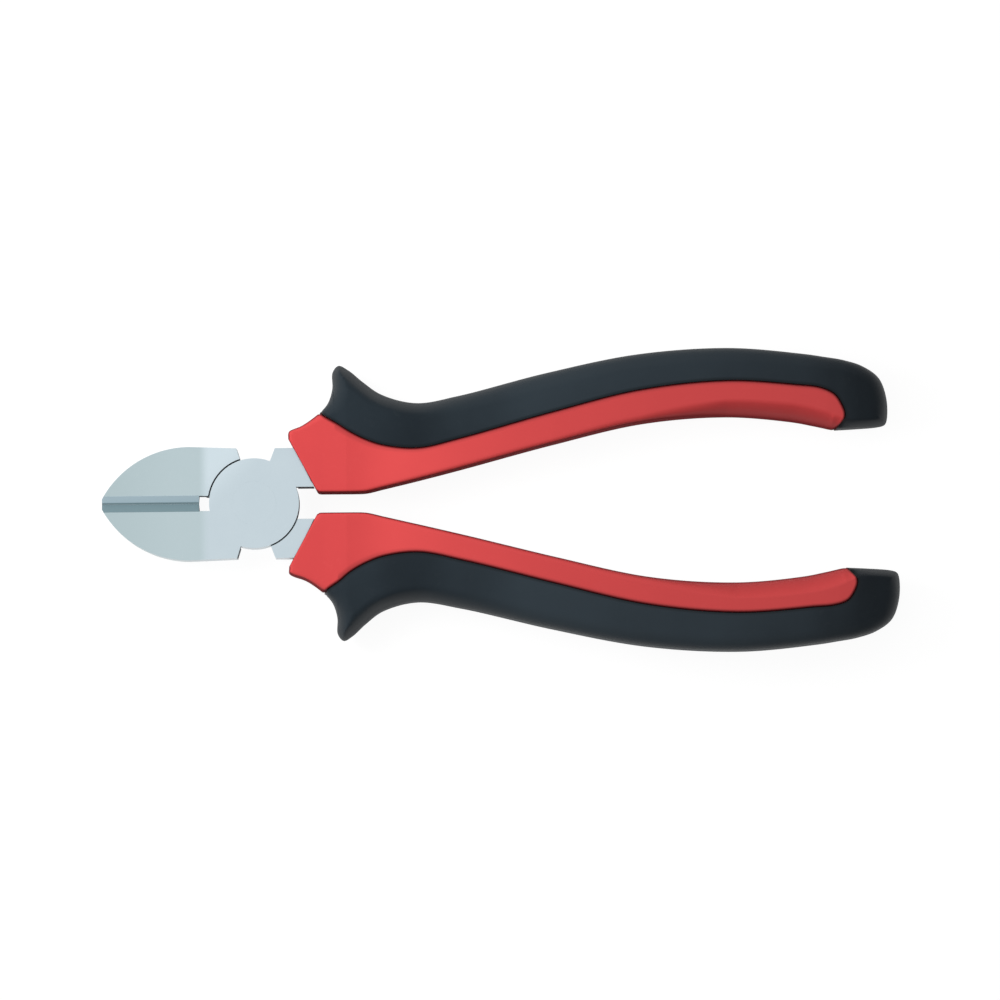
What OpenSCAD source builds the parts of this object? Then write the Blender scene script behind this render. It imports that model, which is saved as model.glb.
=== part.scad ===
// Diagonal cutting pliers: two lapped steel halves on a flush rivet, each with a hard sleeve
// and a soft cover on its tang. Origin on the pivot axis in the back face of the joint,
// handles along +X, jaw tips along -X, +Z out of the front face. Drawn closed.

/* [Head] */
// Thickness of the head across the lap joint
head_t = 10; // [8:0.5:12]
// Radius of the round lap around the pivot
lap_r = 9; // [8:0.25:9.75]
// Distance from the pivot to the jaw tips
jaw_reach = 30.5; // [26:0.5:36]
// Half width of the closed jaws at their widest
jaw_half_w = 11.35; // [11:0.05:13]
// Distance from the pivot to the widest place of the jaws
jaw_belly = 13; // [11:0.5:15]
// Half width of the closed jaws at their blunt tip
tip_half_w = 1; // [0.75:0.25:2]
// Thickness of the jaws at the tip
tip_t = 7; // [5:0.25:7.5]
// Distance past the lap at which the jaws start to thin
taper_margin = 0.5; // [0.25:0.25:1]
// Half width of the head at the heels of the jaws and at the tangs
heel_half_w = 11; // [10.5:0.25:12]
// Direction of the stop face on each tang, from the handle side
tang_stop_deg = 69; // [62:1:74]
// Opening at which the heels of the jaws would meet the tangs
open_stop_deg = 38.5; // [30:0.5:45]

/* [Cutting edge] */
// Width of the ground bevel on the front face
bevel_w = 1.6; // [1:0.1:2.4]
// Depth of the cutting edge below the front face
bevel_depth = 1.3; // [0.8:0.1:2]
// Width of the ground bevel on the back face beside the joint
back_bevel_w = 3; // [2:0.25:4]
// Distance from the pivot to the inner end of the cutting edge
edge_start = 11; // [10.5:0.25:13]
// Half width of the relief window behind the cutting edge
window_half_w = 1.5; // [1:0.1:2]

/* [Pivot] */
// Diameter of the rivet shank
rivet_d = 6.6; // [5:0.2:8]
// Diameter of the flush rivet heads
rivet_head_d = 8.8; // [8.4:0.2:11]
// Depth of the flush rivet heads
rivet_head_t = 1.2; // [0.8:0.1:2]

/* [Tang] */
// Thickness of the steel tang inside the grip
tang_t = 7; // [4:0.25:7.5]
// Width of the tang where it enters the grip
tang_root_w = 6.8; // [5:0.2:7.2]
// Width of the tang at its end
tang_tip_w = 5.6; // [3:0.2:6.4]
// Distance from the pivot to the end of the tang
tang_reach = 100; // [60:1:108]
// Distance from the closing plane to the inner edge of the bare tang
tang_inner_y = 3.2; // [2.6:0.1:4]
// Step from the edges of the bare tang to the slimmer tang inside the grip
tang_step = 0.7; // [0.4:0.1:1.2]

/* [Grip] */
// Thickness of the grips across their faces
grip_t = 13.5; // [12:0.25:16]
// Distance from the pivot to the rear end of the upper grip
upper_reach = 126.6; // [118:0.2:150]
// Distance from the pivot to the rear end of the lower grip
lower_reach = 128.8; // [118:0.2:150]
// Height of the finger guard above the outer side of the grip
guard_rise = 8.5; // [4:0.5:11]

/* [Cover] */
// Thickness of the soft cover on the faces of the grip
cover_wall = 1.2; // [0.8:0.1:1.8]
// Thickness of the soft cover along the outer side of the grip
cover_rim = 3; // [2:0.25:3.5]
// Height of the soft cover above the hard sleeve
cover_proud = 0.35; // [0.2:0.05:0.6]

/* [Fits] */
// Gap between the two laps
lap_gap = 0.1; // [0.05:0.05:0.3]
// Gap around each lap
shoulder_gap = 0.3; // [0.1:0.05:0.4]
// Gap between the closed cutting edges
edge_gap = 0.01; // [0.01:0.01:0.1]
// Radial clearance of the rivet in the rear half, which turns on it
running_gap = 0.04; // [0.02:0.01:0.1]
// Radial clearance of the rivet in the front half, which holds it
rivet_fit = 0.01; // [0.01:0.01:0.03]
// Gap between the tang and its pocket in the sleeve
pocket_gap = 0.15; // [0.05:0.05:0.3]
// Gap between the steel shoulder and the mouth of the sleeve
mouth_gap = 0.1; // [0.05:0.05:0.3]
// Bond line between the sleeve and the cover
bond_gap = 0.05; // [0.03:0.01:0.1]

/* [Hidden] */

$fn = 96;
// Overshoot of cutting tools past the surfaces that they cut
over = 1;
steel = [0.74, 0.78, 0.80];
red = [0.82, 0.13, 0.14];
black = [0.10, 0.11, 0.12];

// Sections of the upper grip from its mouth to its end. Each lies in an upright plane from a point
// of the inner side to a point of the outer side: inner x and y, outer x and y without the guard,
// share of the guard's height, width of the bare sleeve, share of the cover, share of the thickness.
sections = [
    [12.7, 2.0, 6.8, 13.9, 0, 12.6, 0, 0.9],
    [14, 1.85, 9.5, 15.3, 0, 13.6, 0, 0.94],
    [15.2, 1.85, 13.2, 17.9, 0, 15.3, 0.1, 0.97],
    [16.2, 1.85, 15, 18.3, 0.18, 15.1, 0.3, 0.98],
    [17, 1.85, 16, 18.6, 0.52, 14.1, 0.7, 0.99],
    [17.6, 1.85, 16.3, 18.8, 0.88, 13.5, 0.9, 1],
    [18.4, 1.85, 17.5, 19, 1, 12.7, 1, 1],
    [20, 1.85, 19.2, 19.2, 0.9, 11.6, 1, 1],
    [22.5, 1.9, 22, 19.5, 0.55, 10.3, 1, 1],
    [26, 2.7, 25.5, 19.7, 0.25, 8.2, 1, 0.99],
    [33, 4.3, 32.5, 19.9, 0, 6.1, 1, 0.98],
    [42, 6.5, 41, 21.2, 0, 5.5, 1, 0.98],
    [60, 11.1, 58.5, 25.5, 0, 5.7, 1, 1],
    [78, 15.2, 77, 29.2, 0, 5.9, 1, 1],
    [95, 16.5, 95.5, 30.4, 0, 6.5, 1, 0.99],
    [110, 15.2, 112, 29, 0, 6.8, 1, 0.97],
    [118.3, 13.9, 120.5, 27.5, 0, 6.4, 1, 0.95],
    [122, 14.2, 123, 26.5, 0, 6.4, 1, 0.93],
    [125.4, 14.5, 125.4, 24.6, 0, 6, 1, 0.86],
    [127, 15.1, 126.9, 22.4, 0, 4, 1, 0.7],
    [127.5, 16.4, 127.5, 20.8, 0, 2, 1, 0.45]
];
// Sections at which the cover begins, the sleeve ends and the grip ends
cover_first = 2;
sleeve_last = 16;
grip_last = len(sections) - 1;
// The stretch of the grip that takes up a change of its length
stretch_from = 30;
stretch_to = 108;
// Squareness of the sections: 2 is an ellipse
squareness = 3;
// Place of the tang across the core of the sleeve
tang_share = 0.46;
// Longest step between rings along the grip
ring_step = 4;
// Points across the bare side of the sleeve and across its covered side, both odd
bare_count = 11;
core_count = 13;
// Lean of the cover's edge along the seam
seam_lean = 0.15;
// Least width of core that the cover takes hold of
least_hold = 0.4;

taper_x = lap_r + taper_margin;
taper_deg = atan((head_t - tip_t) / 2 / (jaw_reach - taper_x));
// The back of each jaw is an arc from its widest place to the tip
jaw_run = jaw_reach - jaw_belly;
jaw_drop = jaw_half_w - tip_half_w;
jaw_round_r = (jaw_run * jaw_run + jaw_drop * jaw_drop) / (2 * jaw_drop);
jaw_arc_deg = asin(jaw_run / jaw_round_r);
jaw_arc_steps = 24;
heel_deg = tang_stop_deg + open_stop_deg;
// Depth inside the lap to which jaws and tangs run in
root_r = 0.8 * lap_r;

function polar(r, deg) = [r * cos(deg), r * sin(deg)];
function at_height(y, deg) = [y / tan(deg), y];
function lerp(a, b, t) = a + (b - a) * t;
function clamp(v, lo, hi) = max(lo, min(hi, v));
function flip(points, side) = [for (p = points) [p.x, p.y * side]];
function signed_pow(v, e) = sign(v) * pow(abs(v), e);

// Outline of the upper jaw, run past the closing plane for the grinding cuts
function jaw_outline() = concat(
    [[-jaw_reach, -over / 2]],
    [
        for (k = [jaw_arc_steps:-1:0])
            [-jaw_belly, jaw_half_w - jaw_round_r] + polar(jaw_round_r, 90 + jaw_arc_deg * k / jaw_arc_steps)
    ],
    [
        at_height(heel_half_w, heel_deg),
        polar(root_r, heel_deg),
        [-root_r, window_half_w],
        [-edge_start, window_half_w],
        [-edge_start, -over / 2]
    ]
);

// Point of the sleeve's mouth at a given distance from the closing plane
function mouth_at(y) = let (
    inner = [sections[0][0], sections[0][1]],
    outer = [sections[0][2], sections[0][3]]
) lerp(inner, outer, (y - inner.y) / (outer.y - inner.y)) - [mouth_gap, 0];

// Outline of the bare upper tang between the lap and the sleeve
function tang_root_outline() = [
    polar(root_r, tang_stop_deg),
    at_height(heel_half_w, tang_stop_deg),
    mouth_at(heel_half_w),
    mouth_at(tang_inner_y),
    [root_r, tang_inner_y]
];

// Smooth curve through the sections
function spline(i, t) = let (
    p0 = sections[max(i - 1, 0)],
    p1 = sections[i],
    p2 = sections[i + 1],
    p3 = sections[min(i + 2, grip_last)]
) p1 + (t / 2) * ((p2 - p0) + t * ((2 * p0 - 5 * p1 + 4 * p2 - p3) + t * (3 * (p1 - p2) + p3 - p0)));
function steps(i) = ceil(abs(sections[i + 1][0] - sections[i][0]) / ring_step);
function stretched(x, reach) = let (
    share = clamp((x - stretch_from) / (stretch_to - stretch_from), 0, 1)
) x + share * (reach - sections[grip_last][0]);

// Named sizes of one ring: inner point, direction across, full width, width of the core under the
// cover, half thickness of the skin and of the core, and width of the bare sleeve
function ring(row, reach) = let (
    inner = [stretched(row[0], reach), row[1]],
    side = [stretched(row[2], reach), row[3]],
    outer = side + [0, guard_rise * max(row[4], 0)],
    width = norm(outer - inner),
    cover = clamp(row[6], 0, 1),
    core_w = norm(side - inner) - cover * cover_rim,
    half_t = grip_t / 2 * row[7]
) [
    inner, (outer - inner) / width, width, core_w, half_t, half_t - cover * cover_wall,
    min(row[5], core_w - least_hold)
];
function rings(first, last, reach) = concat(
    [for (i = [first:last - 1]) for (k = [0:steps(i) - 1]) ring(spline(i, k / steps(i)), reach)],
    [ring(sections[last], reach)]
);

// Angle on a rounded section of width w at which it is u wide, and the point at an angle
function seam_angle(u, w) = acos(signed_pow(clamp(2 * u / w - 1, -1, 1), squareness / 2));
function oval(w, h, deg) = [
    w / 2 * (1 + signed_pow(cos(deg), 2 / squareness)),
    h * signed_pow(sin(deg), 2 / squareness)
];
// Points of a ring's section set in space
function set_up(r, points) = [for (p = points) [r[0].x + r[1].x * p[0], r[0].y + r[1].y * p[0], p[1]]];
// Points over the outer side from seam to seam, and over the inner side back again
function over_outer(w, h, u) = let (a = seam_angle(u, w))
    [for (k = [0:core_count - 1]) oval(w, h, a * (1 - 2 * k / (core_count - 1)))];
function over_inner(w, h, u) = let (a = seam_angle(u, w))
    [for (k = [0:bare_count - 1]) oval(w, h, 360 - a - (360 - 2 * a) * k / (bare_count - 1))];
function inside(list) = [for (k = [1:len(list) - 2]) list[k]];

// Loop of the sleeve: the bare inner side, then the core under the cover
function sleeve_loop(r) = set_up(r, concat(
    over_inner(r[2], r[4], r[6]),
    inside(over_outer(r[3], r[5], r[6]))
));
// Loop of the cover: its outside from seam to seam, then its inside along the core
function cover_skin(r) = over_outer(r[2], r[4] + cover_proud, r[6] + bond_gap);
function cover_lining(r) = let (
    lining = over_outer(r[3] + bond_gap, r[5] + bond_gap, r[6] + bond_gap),
    lip = oval(r[2], r[4], seam_angle(r[6], r[2])) + [bond_gap + seam_lean, bond_gap]
) concat([lip], inside(lining), [[lip[0], -lip[1]]]);
function cover_loop(r) = set_up(r, concat(cover_skin(r), cover_lining(r)));
function tail_inner(r) = inside(over_inner(r[2], r[4] + cover_proud, r[6] + bond_gap));
function tail_loop(r) = set_up(r, concat(cover_skin(r), tail_inner(r)));

function flat(lists) = [for (l = lists) each l];
function quad(a, b, c, d) = concat(
    a == b || b == c ? [] : [[a, b, c]],
    c == d || d == a ? [] : [[a, c, d]]
);
// Faces between two loops of point numbers, and across a loop that is even about its ends
function band(from, to) = flat([
    for (k = [0:len(from) - 1]) let (n = (k + 1) % len(from)) quad(from[k], from[n], to[n], to[k])
]);
function web(lower, upper) = flat([
    for (k = [0:len(lower) - 2]) quad(lower[k], lower[k + 1], upper[k + 1], upper[k])
]);
function reversed(faces) = [for (f = faces) [f[2], f[1], f[0]]];
function count_from(start, count) = [for (k = [0:count - 1]) start + k];
function backwards(list) = [for (k = [len(list) - 1:-1:0]) list[k]];

module sleeve_body(reach) {
    all = rings(0, sleeve_last, reach);
    size = bare_count + core_count - 2;
    tip = (bare_count - 1) / 2;
    last = (len(all) - 1) * size;
    lower = [for (k = [0:size / 2]) (tip - k + size) % size];
    upper = [for (k = [0:size / 2]) (tip + k) % size];
    polyhedron(
        points = flat([for (r = all) sleeve_loop(r)]),
        faces = concat(
            web(lower, upper),
            flat([for (j = [0:len(all) - 2]) band(count_from(j * size, size), count_from((j + 1) * size, size))]),
            reversed(web([for (k = lower) last + k], [for (k = upper) last + k]))
        )
    );
}

module cover_body(reach) {
    along = rings(cover_first, sleeve_last, reach);
    tail = rings(sleeve_last, grip_last, reach);
    size = 2 * core_count;
    full = core_count + bare_count - 2;
    // Point numbers of a ring of the open stretch, of its last ring and of a ring of the solid tail
    last = (len(along) - 1) * size;
    wall = last + size;
    tail_start = wall + bare_count - 2;
    middle = (core_count - 1) / 2;
    tip = (bare_count - 3) / 2;
    function loop(j) = let (s = j * size)
        concat(count_from(s, core_count), backwards(count_from(s + core_count, core_count)));
    function tail_ring(j) = j == 0
        ? concat(count_from(last, core_count), count_from(wall, bare_count - 2))
        : count_from(tail_start + (j - 1) * full, full);
    lining = last + core_count;
    wall_lower = concat(
        [for (k = [tip:-1:0]) wall + k], [last + core_count - 1],
        [for (k = [core_count - 1:-1:middle]) lining + k]
    );
    wall_upper = concat(
        [for (k = [tip:bare_count - 3]) wall + k], [last],
        [for (k = [0:middle]) lining + k]
    );
    end = tail_ring(len(tail) - 1);
    nose = core_count + tip;
    polyhedron(
        points = concat(
            flat([for (r = along) cover_loop(r)]),
            set_up(tail[0], tail_inner(tail[0])),
            flat([for (j = [1:len(tail) - 1]) tail_loop(tail[j])])
        ),
        faces = concat(
            web(count_from(core_count, core_count), count_from(0, core_count)),
            flat([for (j = [0:len(along) - 2]) band(loop(j), loop(j + 1))]),
            web(wall_lower, wall_upper),
            flat([for (j = [0:len(tail) - 2]) band(tail_ring(j), tail_ring(j + 1))]),
            reversed(web(
                [for (k = [0:full / 2]) end[(nose - k + full) % full]],
                [for (k = [0:full / 2]) end[(nose + k) % full]]
            ))
        )
    );
}

// Outline of the tang inside the grip, from inside the steel shoulder to its end
module tang_outline(reach, gap) {
    inside_grip = rings(1, sleeve_last, reach);
    start_x = inside_grip[0][0].x;
    function edge(r, side) = let (
        middle = r[0] + r[1] * r[3] * tang_share,
        along = clamp((middle.x - start_x) / (tang_reach - start_x), 0, 1)
    ) middle + r[1] * side * (lerp(tang_root_w, tang_tip_w, along) / 2 + gap);
    intersection() {
        polygon(concat(
            [[root_r, tang_inner_y + tang_step - gap], [root_r, heel_half_w - tang_step + gap]],
            [for (r = inside_grip) edge(r, 1)],
            backwards([for (r = inside_grip) edge(r, -1)])
        ));
        square(2 * (tang_reach + gap), center = true);
    }
}

// Turns a piece drawn above the closing plane (1) over to below it (-1)
module on_side(side) {
    if (side > 0)
        children();
    else
        mirror([0, 1, 0])
            children();
}

// Shape of the rivet turned about the pivot, or of the hole for it
module rivet_shape(gap, past) {
    r = rivet_d / 2 + gap;
    flare = (rivet_head_d - rivet_d) / 2 / rivet_head_t;
    head_z = head_t / 2 - rivet_head_t;
    rim = r + flare * (rivet_head_t + past);
    rotate_extrude()
        polygon([
            [0, -head_t / 2 - past], [rim, -head_t / 2 - past], [r, -head_z],
            [r, head_z], [rim, head_t / 2 + past], [0, head_t / 2 + past]
        ]);
}

// Frame in the front face of the jaws at the line where they start to thin
module on_front_slope() {
    translate([-taper_x, 0, head_t / 2])
        rotate([0, -taper_deg, 0])
            children();
}

module jaw_taper() {
    on_front_slope()
        translate([-2 * jaw_reach, -2 * jaw_half_w, 0])
            cube([2 * jaw_reach + lap_r, 4 * jaw_half_w, head_t]);
}

// The ground shape beside the cutting edge of the upper jaw, front and back
module blade_grind() {
    edge_y = edge_gap / 2;
    deep = 2 * head_t;
    front_slope = (bevel_w - edge_y) / bevel_depth;
    back_slope = (back_bevel_w - edge_y) / (head_t - bevel_depth);
    run_out = (edge_start - taper_x) / 2;
    on_front_slope()
        translate([-2 * jaw_reach, 0, 0])
            rotate([90, 0, 90])
                linear_extrude(2 * jaw_reach - run_out)
                    polygon([
                        [-over, over], [bevel_w + front_slope * over, over], [edge_y, -bevel_depth],
                        [edge_y + back_slope * (deep - bevel_depth), -deep], [-over, -deep]
                    ]);
}

// One steel half: its jaw on one side of the closing plane, its tang on the other, and its lap
// in the front (1) or the back (-1) of the head
module steel_half(jaw_side, lap_side, reach, gap) {
    difference() {
        union() {
            linear_extrude(head_t, center = true) {
                circle(lap_r);
                polygon(flip(jaw_outline(), jaw_side));
                polygon(flip(tang_root_outline(), -jaw_side));
            }
            on_side(-jaw_side)
                linear_extrude(tang_t, center = true)
                    tang_outline(reach, 0);
        }
        jaw_taper();
        mirror([0, 0, 1])
            jaw_taper();
        on_side(jaw_side)
            blade_grind();
        translate([0, 0, -lap_side * (head_t - lap_gap) / 2])
            cylinder(r = lap_r + shoulder_gap, h = head_t, center = true);
        rivet_shape(gap, over);
    }
}

// Lifts a piece drawn about the middle of the head onto the back face
module placed() {
    translate([0, 0, head_t / 2])
        children();
}

module sleeve(reach) {
    difference() {
        sleeve_body(reach);
        linear_extrude(tang_t + 2 * pocket_gap, center = true)
            tang_outline(reach, pocket_gap);
    }
}

module front_half() {
    color(steel)
        placed()
            steel_half(-1, 1, upper_reach, rivet_fit);
}

module rear_half() {
    color(steel)
        placed()
            steel_half(1, -1, lower_reach, running_gap);
}

module pivot_rivet() {
    color(steel)
        placed()
            rivet_shape(0, 0);
}

module upper_sleeve() {
    color(red)
        placed()
            sleeve(upper_reach);
}

module upper_overmould() {
    color(black)
        placed()
            cover_body(upper_reach);
}

module lower_sleeve() {
    color(red)
        placed()
            on_side(-1)
                sleeve(lower_reach);
}

module lower_overmould() {
    color(black)
        placed()
            on_side(-1)
                cover_body(lower_reach);
}

front_half();
rear_half();
pivot_rivet();
upper_sleeve();
upper_overmould();
lower_sleeve();
lower_overmould();
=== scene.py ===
import math

import bmesh
import bpy
import numpy as np
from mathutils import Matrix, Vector


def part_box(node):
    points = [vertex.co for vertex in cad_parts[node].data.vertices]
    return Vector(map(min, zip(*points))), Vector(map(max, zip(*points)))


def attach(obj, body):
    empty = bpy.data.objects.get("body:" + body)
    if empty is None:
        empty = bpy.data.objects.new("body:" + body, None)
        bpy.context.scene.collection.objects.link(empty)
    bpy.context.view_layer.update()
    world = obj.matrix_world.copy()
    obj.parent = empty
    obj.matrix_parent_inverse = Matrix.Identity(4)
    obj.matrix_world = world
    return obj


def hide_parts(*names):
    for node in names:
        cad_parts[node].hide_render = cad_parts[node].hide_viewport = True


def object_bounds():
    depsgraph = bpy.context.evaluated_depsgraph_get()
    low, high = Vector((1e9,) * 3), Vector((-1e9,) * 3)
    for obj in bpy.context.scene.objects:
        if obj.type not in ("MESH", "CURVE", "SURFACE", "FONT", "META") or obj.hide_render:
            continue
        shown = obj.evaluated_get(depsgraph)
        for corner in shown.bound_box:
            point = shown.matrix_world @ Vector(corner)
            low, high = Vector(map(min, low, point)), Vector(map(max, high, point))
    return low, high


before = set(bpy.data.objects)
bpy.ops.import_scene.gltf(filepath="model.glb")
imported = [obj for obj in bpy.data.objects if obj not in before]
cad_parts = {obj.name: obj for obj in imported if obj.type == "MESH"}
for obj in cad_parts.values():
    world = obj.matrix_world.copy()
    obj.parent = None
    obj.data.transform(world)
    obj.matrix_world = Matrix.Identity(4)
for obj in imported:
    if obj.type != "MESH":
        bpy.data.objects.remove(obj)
cadLow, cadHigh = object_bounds()
scene = bpy.context.scene
mm = 0.001
tiny = 1e-9     # keeps lengths off zero where something is divided by them
print("frame loaded:", ", ".join(sorted(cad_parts)))


# Node helpers

def addNode(tree, kind, inputs=None, **settings):
    node = tree.nodes.new(kind)
    for key, value in settings.items():
        setattr(node, key, value)
    for key, value in (inputs or {}).items():
        node.inputs[key].default_value = value
    return node


def newGroup(name, inputs, outputs, treeKind="ShaderNodeTree", socketKind="NodeSocketFloat"):
    tree = bpy.data.node_groups.new(name, treeKind)
    for way, sockets in (("INPUT", inputs), ("OUTPUT", outputs)):
        for socket in sockets:
            tree.interface.new_socket(name=socket, in_out=way, socket_type=socketKind)
    return tree, addNode(tree, "NodeGroupInput"), addNode(tree, "NodeGroupOutput")


def placeGroup(tree, group, values):
    return addNode(tree, "ShaderNodeGroup", values, node_tree=group)


def newMaterial(name, surface=None):
    mat = bpy.data.materials.new(name)
    mat.use_nodes = True
    bsdf = mat.node_tree.nodes["Principled BSDF"]
    for key, value in (surface or {}).items():
        bsdf.inputs[key].default_value = value
    return mat, mat.node_tree, bsdf


def feed(tree, value, socket):
    # a link from another socket, or a plain value
    if isinstance(value, bpy.types.NodeSocket):
        tree.links.new(value, socket)
    else:
        socket.default_value = value


def mixColor(tree, factor, a, b):
    node = addNode(tree, "ShaderNodeMix", data_type="RGBA")
    for name, value in (("Factor", factor), ("A", a), ("B", b)):
        feed(tree, value, [s for s in node.inputs if s.name == name and s.enabled][0])
    return [s for s in node.outputs if s.enabled][0]


def mathNode(tree, operation, a, b=0.0, clamp=False):
    node = addNode(tree, "ShaderNodeMath", operation=operation, use_clamp=clamp)
    feed(tree, a, node.inputs[0])
    feed(tree, b, node.inputs[1])
    return node.outputs[0]


def inverted(tree, mask):
    return mathNode(tree, "SUBTRACT", 1.0, mask)


def ramp(tree, value, low, high):
    # 0 up to low, 1 from high on, soft between them
    node = addNode(tree, "ShaderNodeMapRange", interpolation_type="SMOOTHSTEP")
    feed(tree, value, node.inputs["Value"])
    feed(tree, low, node.inputs["From Min"])
    feed(tree, high, node.inputs["From Max"])
    return node.outputs["Result"]


def splitXyz(tree, vector):
    node = addNode(tree, "ShaderNodeSeparateXYZ")
    tree.links.new(vector, node.inputs[0])
    return node.outputs


def placeInMm(tree):
    place = addNode(tree, "ShaderNodeTexCoord")
    toMm = addNode(tree, "ShaderNodeVectorMath", {"Scale": 1 / mm}, operation="SCALE")
    tree.links.new(place.outputs["Object"], toMm.inputs[0])
    return toMm.outputs[0]


def roughFrom(tree, mottle, least, most):
    node = addNode(tree, "ShaderNodeMapRange", {"To Min": least, "To Max": most})
    tree.links.new(mottle, node.inputs["Value"])
    return node.outputs["Result"]


def addBump(tree, bsdf, height, strength, deep):
    bump = addNode(tree, "ShaderNodeBump", {"Strength": strength, "Distance": deep * mm})
    tree.links.new(height, bump.inputs["Height"])
    tree.links.new(bump.outputs["Normal"], bsdf.inputs["Normal"])


# Shared surface effects

def makeSides():
    # mask of the side walls: 1 where the surface stands upright, 0 on the faces
    tree, start, end = newGroup("sideWalls", ["Upright", "Level"], ["Mask"])
    surface = addNode(tree, "ShaderNodeNewGeometry")
    level = mathNode(tree, "ABSOLUTE", splitXyz(tree, surface.outputs["Normal"])["Z"])
    face = ramp(tree, level, start.outputs["Upright"], start.outputs["Level"])
    tree.links.new(inverted(tree, face), end.inputs["Mask"])
    return tree


def makeGrain():
    # fine moulded or blasted grain: a height for the bump and a slow mottle for colour and gloss
    tree, start, end = newGroup(
        "fineGrain",
        ["Grain per mm", "Mottle per mm", "Stretch"],
        ["Height", "Mottle"],
    )
    place = placeInMm(tree)
    squeeze = addNode(tree, "ShaderNodeCombineXYZ", {"Y": 1.0, "Z": 1.0})
    drawn = addNode(tree, "ShaderNodeVectorMath", operation="MULTIPLY")
    fine = addNode(tree, "ShaderNodeTexNoise", {"Detail": 3.0, "Roughness": 0.6})
    slow = addNode(tree, "ShaderNodeTexNoise", {"Detail": 4.0, "Roughness": 0.55})
    tree.links.new(start.outputs["Stretch"], squeeze.inputs["X"])
    tree.links.new(place, drawn.inputs[0])
    tree.links.new(squeeze.outputs[0], drawn.inputs[1])
    tree.links.new(drawn.outputs[0], fine.inputs["Vector"])
    tree.links.new(place, slow.inputs["Vector"])
    tree.links.new(start.outputs["Grain per mm"], fine.inputs["Scale"])
    tree.links.new(start.outputs["Mottle per mm"], slow.inputs["Scale"])
    tree.links.new(fine.outputs["Fac"], end.inputs["Height"])
    tree.links.new(slow.outputs["Fac"], end.inputs["Mottle"])
    return tree


handling = {
    "breaksPerMm": 0.9,             # how finely the rub along the edges is broken up
    "leastRub": 0.5,                # added to the noise, so that some rub is always there
    "scuffsFrom": (0.56, 0.72),     # noise at which a scuff starts, and at which it is full
}


def makeHandling():
    # rubbed edges and faint scuffs from handling, as one broken mask
    tree, start, end = newGroup(
        "handlingMarks",
        ["Edge", "Edge Amount", "Scuff Amount", "Scuffs per mm"],
        ["Rub"],
    )
    place = placeInMm(tree)
    low, high = handling["scuffsFrom"]
    broken = addNode(tree, "ShaderNodeTexNoise", {"Detail": 5.0, "Roughness": 0.65})
    broken.inputs["Scale"].default_value = handling["breaksPerMm"]
    streaks = addNode(tree, "ShaderNodeTexNoise", {"Detail": 6.0, "Roughness": 0.7, "Distortion": 1.2})
    thin = addNode(tree, "ShaderNodeMapRange", {"From Min": low, "From Max": high})
    tree.links.new(place, broken.inputs["Vector"])
    tree.links.new(place, streaks.inputs["Vector"])
    tree.links.new(start.outputs["Scuffs per mm"], streaks.inputs["Scale"])
    tree.links.new(streaks.outputs["Fac"], thin.inputs["Value"])
    rub = mathNode(tree, "ADD", broken.outputs["Fac"], handling["leastRub"])
    edge = mathNode(tree, "MULTIPLY", start.outputs["Edge"], start.outputs["Edge Amount"])
    edge = mathNode(tree, "MULTIPLY", edge, rub)
    scuff = mathNode(tree, "MULTIPLY", thin.outputs["Result"], start.outputs["Scuff Amount"])
    tree.links.new(mathNode(tree, "ADD", edge, scuff, clamp=True), end.inputs["Rub"])
    return tree


sideWalls = makeSides()
fineGrain = makeGrain()
handlingMarks = makeHandling()


# Steel finish

satinSteel = {
    "light": (0.73, 0.845, 0.905, 1),
    "dark": (0.67, 0.785, 0.85, 1),
    "rubbed": (0.78, 0.87, 0.91, 1),
    "paintedSheen": (0.795, 0.92, 0.985, 1),    # painted sheen: lighter colour on the heel of the upper jaw and the lap beside it
    "jaws": (0.60, 0.725, 0.76, 1),         # ground faces of the jaws
    # jawTips: painted shade, the jaw faces darker towards their tips
    "jawTips": (0.555, 0.68, 0.71, 1),
    "blade": (0.42, 0.54, 0.60, 1),         # ground bevels beside the cutting edge
    "bladeShade": (0.165, 0.24, 0.265, 1),  # the lower one, painted darker as painted shade
    "paintedWallShade": (0.22, 0.25, 0.265, 1),        # painted shade: dark colour on the side walls
    "rough": (0.27, 0.36),          # least and most roughness
    "bladeRough": 0.5,
    "bladeMatt": 0.75,              # the bevels are matt from the grinding
    "sideMatt": 0.85,               # and the side walls too, so that their painted shade shows
    "grainPerMm": 9.0,
    "grainStretch": 0.12,           # grain drawn out along the tool by the grinding
    "mottlePerMm": 0.16,
    "bump": 0.06,
    "bumpDeep": 0.02,               # mm
    "marks": {"Edge Amount": 1.2, "Scuff Amount": 0.12, "Scuffs per mm": 0.7},
    "walls": {"Upright": 0.15, "Level": 0.76},     # how level a surface is, from side wall to face
    "edgeRadius": 0.25,             # mm, for the rub on edges
    "edgeSamples": 6,
    "rivetZone": (5.6, 6.6),        # mm from the pivot, where the rub on edges sets in
    "polishFrom": (6, 16),          # mm from the pivot towards the heel, across and along added
    "jawsFrom": (-11.2, -8.8),      # mm, where the ground faces run out
    "tipsFrom": (-30, -14),
    "bladeFrom": -10.9,             # mm, where the bevels start
    "bladeWide": 1.62,              # mm on each side of the cutting edge
    "bladeSplit": (0.18, 0.48),     # mm above the edge, where the two bevels' shades meet
    "outerSides": (0.35, 0.7),      # how far a side wall faces outwards, from full painted shade to the least
    "outerShadeCut": 0.65,            # how much of the painted shade the outward walls lose
}


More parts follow.
